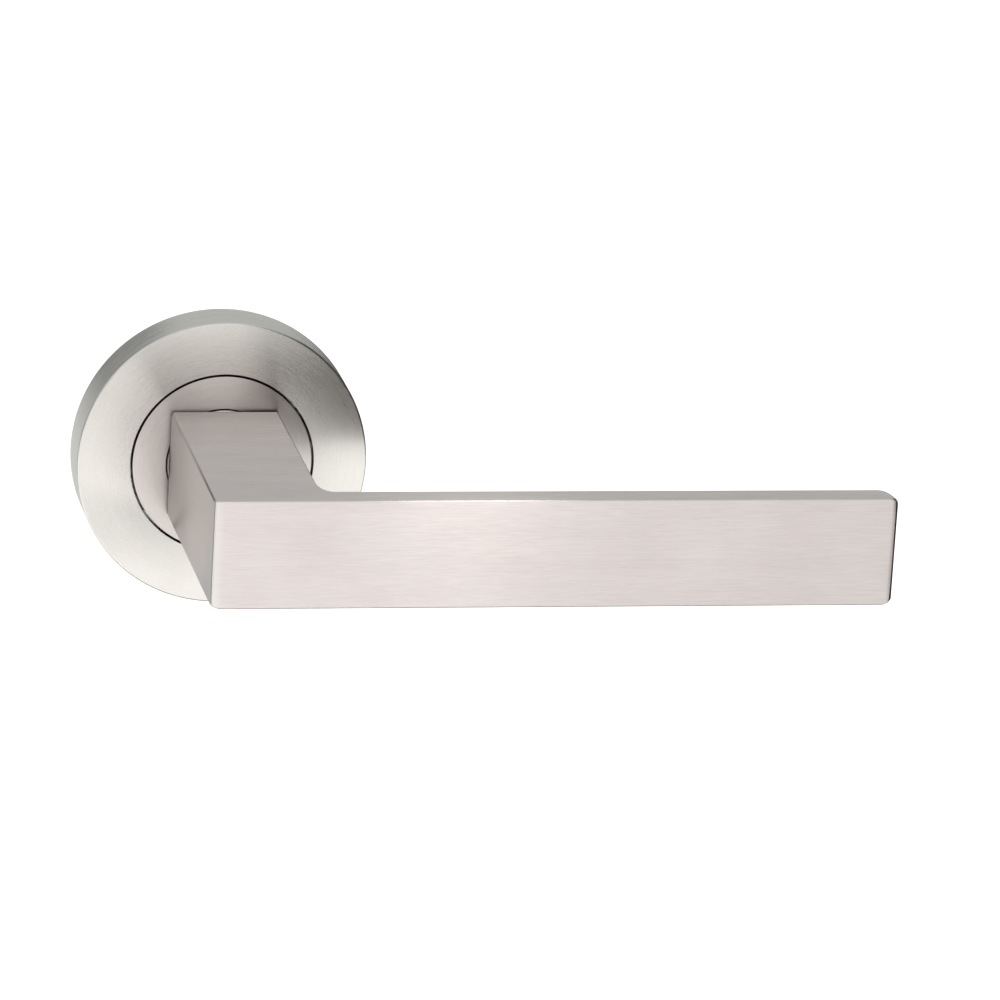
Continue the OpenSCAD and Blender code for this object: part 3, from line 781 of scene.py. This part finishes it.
# ------------------------------------------------------------------ light and stage
def world():
    w = bpy.data.worlds.new("studio")
    bpy.context.scene.world = w
    w.use_nodes = True
    n = Nodes(w.node_tree)
    d = n.add("ShaderNodeTexCoord").outputs["Generated"]
    x, y, z = n.split(d)
    # in front: a bright table below the horizon, a dimmer room above it, dimmer still to the right
    far = n.ramp(x, 0.20, 0.36, 0.0, 1.0)
    low = n.math("ADD", n.math("MULTIPLY", far, n.ramp(z, -0.20, -0.27, 0.0, 1.0)), n.math("MULTIPLY", n.math("SUBTRACT", 1.0, far), n.ramp(z, -0.02, -0.26, 0.0, 1.0)))
    below = n.math("ADD", n.ramp(x, 0.14, 0.25, 1.62, 1.24), n.ramp(x, 0.26, 0.36, 0.0, 0.22))
    above = n.ramp(x, 0.20, 0.42, 1.08, 0.05)
    front = n.math("ADD", n.math("MULTIPLY", low, below), n.math("MULTIPLY", n.math("SUBTRACT", 1.0, low), above))
    # a dark card at the far left
    front = n.math("MULTIPLY", front, n.ramp(x, -0.88, -0.76, 0.06, 1.0))
    # the dark camera stand straight ahead
    dx, dz = n.math("ADD", x, 0.183), n.math("SUBTRACT", z, 0.284)
    d = n.math("SQRT", n.math("ADD", n.math("MULTIPLY", dx, dx), n.math("MULTIPLY", dz, dz)))
    front = n.math("MULTIPLY", front, n.ramp(d, 0.05, 0.22, 0.5, 1.0))
    leg = n.math("MULTIPLY", n.ramp(n.math("ABSOLUTE", n.math("ADD", x, 0.19)), 0.04, 0.16, 0.55, 0.0), window(n, z, -0.5, 0.2, 0.15))
    front = n.math("MULTIPLY", front, n.math("SUBTRACT", 1.0, leg))
    # behind: grey, brighter low on the left, a dark stand high on the left and a black card on the right
    back = n.math("ADD", n.ramp(x, -0.05, -0.20, -0.30, 0.24), n.ramp(x, 0.19, 0.27, 0.0, 0.34))
    back = n.math("ADD", 0.62, n.math("MULTIPLY", back, n.ramp(z, 0.0, -0.22, 0.0, 1.0)))
    ex, ez = n.math("ADD", x, 0.30), n.math("SUBTRACT", z, 0.19)
    e = n.math("SQRT", n.math("ADD", n.math("MULTIPLY", ex, ex), n.math("MULTIPLY", ez, ez)))
    back = n.math("MULTIPLY", back, n.ramp(e, 0.14, 0.34, 0.12, 1.0))
    card = n.math("MULTIPLY", n.ramp(x, 0.36, 0.48, 0.0, 0.97), n.ramp(z, 0.12, 0.0, 0.0, 1.0))
    back = n.math("MULTIPLY", back, n.math("SUBTRACT", 1.0, card))
    # a dark doorway behind, low and to the right, which the rear of the grip shows to the rose
    door = n.math("MULTIPLY", window(n, x, 0.03, 0.20, 0.06), n.ramp(z, -0.06, -0.18, 0.0, 0.55))
    back = n.math("MULTIPLY", back, n.math("SUBTRACT", 1.0, door))
    lum = n.math("ADD", n.math("MULTIPLY", front, n.ramp(y, 0.12, -0.25, 0.0, 1.0)), n.math("MULTIPLY", back, n.ramp(y, -0.25, 0.12, 0.0, 1.0)))
    # a tall black card on the right
    tall = n.math("MULTIPLY", n.ramp(x, 0.60, 0.72, 0.0, 0.98), n.ramp(y, -0.26, -0.08, 0.0, 1.0))
    lum = n.math("MULTIPLY", lum, n.math("SUBTRACT", 1.0, tall))
    # soft ceiling, dull straight below
    lum = n.math("MULTIPLY", lum, n.ramp(z, -0.93, -0.78, 0.2, 1.0))
    top = n.ramp(z, 0.6, 0.85, 0.0, 1.0)
    lum = n.math("ADD", n.math("MULTIPLY", lum, n.math("SUBTRACT", 1.0, top)), n.math("MULTIPLY", top, 0.7))
    tint = n.mix(n.ramp(y, -0.35, 0.15), (1.0, 0.99, 0.985, 1), (0.97, 1.0, 0.985, 1))
    bg = n.add("ShaderNodeBackground", {"Color": tint, "Strength": lum})
    white = n.add("ShaderNodeBackground", {"Color": (1, 1, 1, 1), "Strength": 1.05})
    lp = n.add("ShaderNodeLightPath").outputs["Is Camera Ray"]
    mix = n.add("ShaderNodeMixShader", {0: lp, 1: bg.outputs[0], 2: white.outputs[0]})
    n.add("ShaderNodeOutputWorld", {0: mix.outputs[0]})


def spots():
    """A row of small soft lamps close above the grip: the faint glow on the upper half of its face."""
    for i, power in enumerate((0.45, 0.85, 1.0, 0.85, 0.45)):
        d = bpy.data.lights.new("lamp_%d" % i, "SPOT")
        d.shadow_soft_size = 0.006
        d.spot_size = math.radians(52)
        d.spot_blend = 1.0
        d.energy = 0.0068 * power
        d.color = (1, 0.985, 0.97)
        o = bpy.data.objects.new("lamp_%d" % i, d)
        bpy.context.scene.collection.objects.link(o)
        at = Vector((0.0225 + 0.0065 * i, -0.061, 0.006))
        o.location = at + Vector((0.0075, -0.028, 0.032))
        o.rotation_euler = (o.location - at).to_track_quat("Z", "Y").to_euler()
        o.visible_camera = False


def floor():
    me = bpy.data.meshes.new("floor")
    bm = bmesh.new()
    s, z = 6.0, -0.35
    v = [bm.verts.new((a * s, b * s, z)) for a, b in ((-1, -1), (1, -1), (1, 1), (-1, 1))]
    bm.faces.new(v)
    bm.to_mesh(me)
    bm.free()
    o = bpy.data.objects.new("floor", me)
    bpy.context.scene.collection.objects.link(o)
    m, n = new_material("pale_floor")
    obj = n.add("ShaderNodeTexCoord").outputs["Object"]
    a = n.noise(obj, 3.0, 2.0, 0.5)
    col = n.mix(n.ramp(a, 0.3, 0.7), (0.88, 0.88, 0.88, 1), (0.9, 0.9, 0.9, 1))
    shader(n, color=col, rough=0.9, spec=0.0, emission=(1, 1, 1, 1), emit=0.8)
    me.materials.append(m)
    o.visible_glossy = False


# ------------------------------------------------------------------ build
scene = bpy.context.scene
scene.view_settings.view_transform = "Standard"
scene.view_settings.look = "None"
set_camera()
world()
spots()
floor()

STEEL = (0.70, 0.652, 0.635)
lever_mat = brushed_steel("satin_grip", STEEL)
rose_mat = turned_steel("satin_rose", (0.725, 0.704, 0.669), rough=0.28)
# the disc is the rose's turned steel with a darker base colour: painted shade
disc_mat = turned_steel("satin_disc", (0.655, 0.617, 0.583))
shank_mat = turned_steel("turned_shank", (0.66, 0.64, 0.62), rough=0.25, aniso=0.6)
zinc_mat = cast_zinc("cast_zinc", (0.50, 0.51, 0.52))
plate_mat = plated_steel("zinc_plated", (0.66, 0.66, 0.62))
oxide_mat = black_oxide("black_oxide")
wire_mat = spring_steel("spring_wire")
nylon_mat = nylon("natural_nylon")
rubber_mat = rubber("black_rubber")

MATS = {
    "lever": lever_mat, "shank": shank_mat, "grub_screw": oxide_mat, "spindle": plate_mat, "spindle_sleeve": wire_mat,
    "drive_cam": plate_mat, "disc_spring_washer": wire_mat, "circlip": oxide_mat, "rose_cover": rose_mat,
    "centre_disc": disc_mat, "mounting_plate": zinc_mat, "bearing_bush": nylon_mat, "thrust_washer": nylon_mat,
    "stop_pins": plate_mat, "return_spring": wire_mat, "spring_cover": plate_mat, "spring_cover_screws": plate_mat,
    "cover_grip_ring": rubber_mat, "through_bolt_posts": plate_mat, "wood_screws": plate_mat,
}
for node, o in frame["nodes"].items():
    o.data.materials.clear()
    o.data.materials.append(MATS[node])

build_lever(lever_mat)

# rose cover: shell with a rounded front edge and a broken edge at the window
lathe("rose_shell", fillet([
    (26, 0, 0.12), (26, 9, 0.38), (16.45, 9, 0.07), (16.45, 7.8, 0.06), (24.8, 7.8, 0.3), (24.8, 0.35, 0.1), (25.1, 0, 0.1),
], 6), rose_mat, "rose", "rose_cover", segs=256)
# flush disc
lathe("flush_disc", fillet([
    (10.1, 7.5, 0.05), (10.1, 9, 0.08), (16.05, 9, 0.07), (16.05, 6.65, 0.1), (15.45, 6.65, 0.05), (15.45, 7.5, 0.05),
], 5), disc_mat, "rose", "centre_disc", segs=256)

build_shank(shank_mat)
build_wood_screws(plate_mat)
soften_cad()
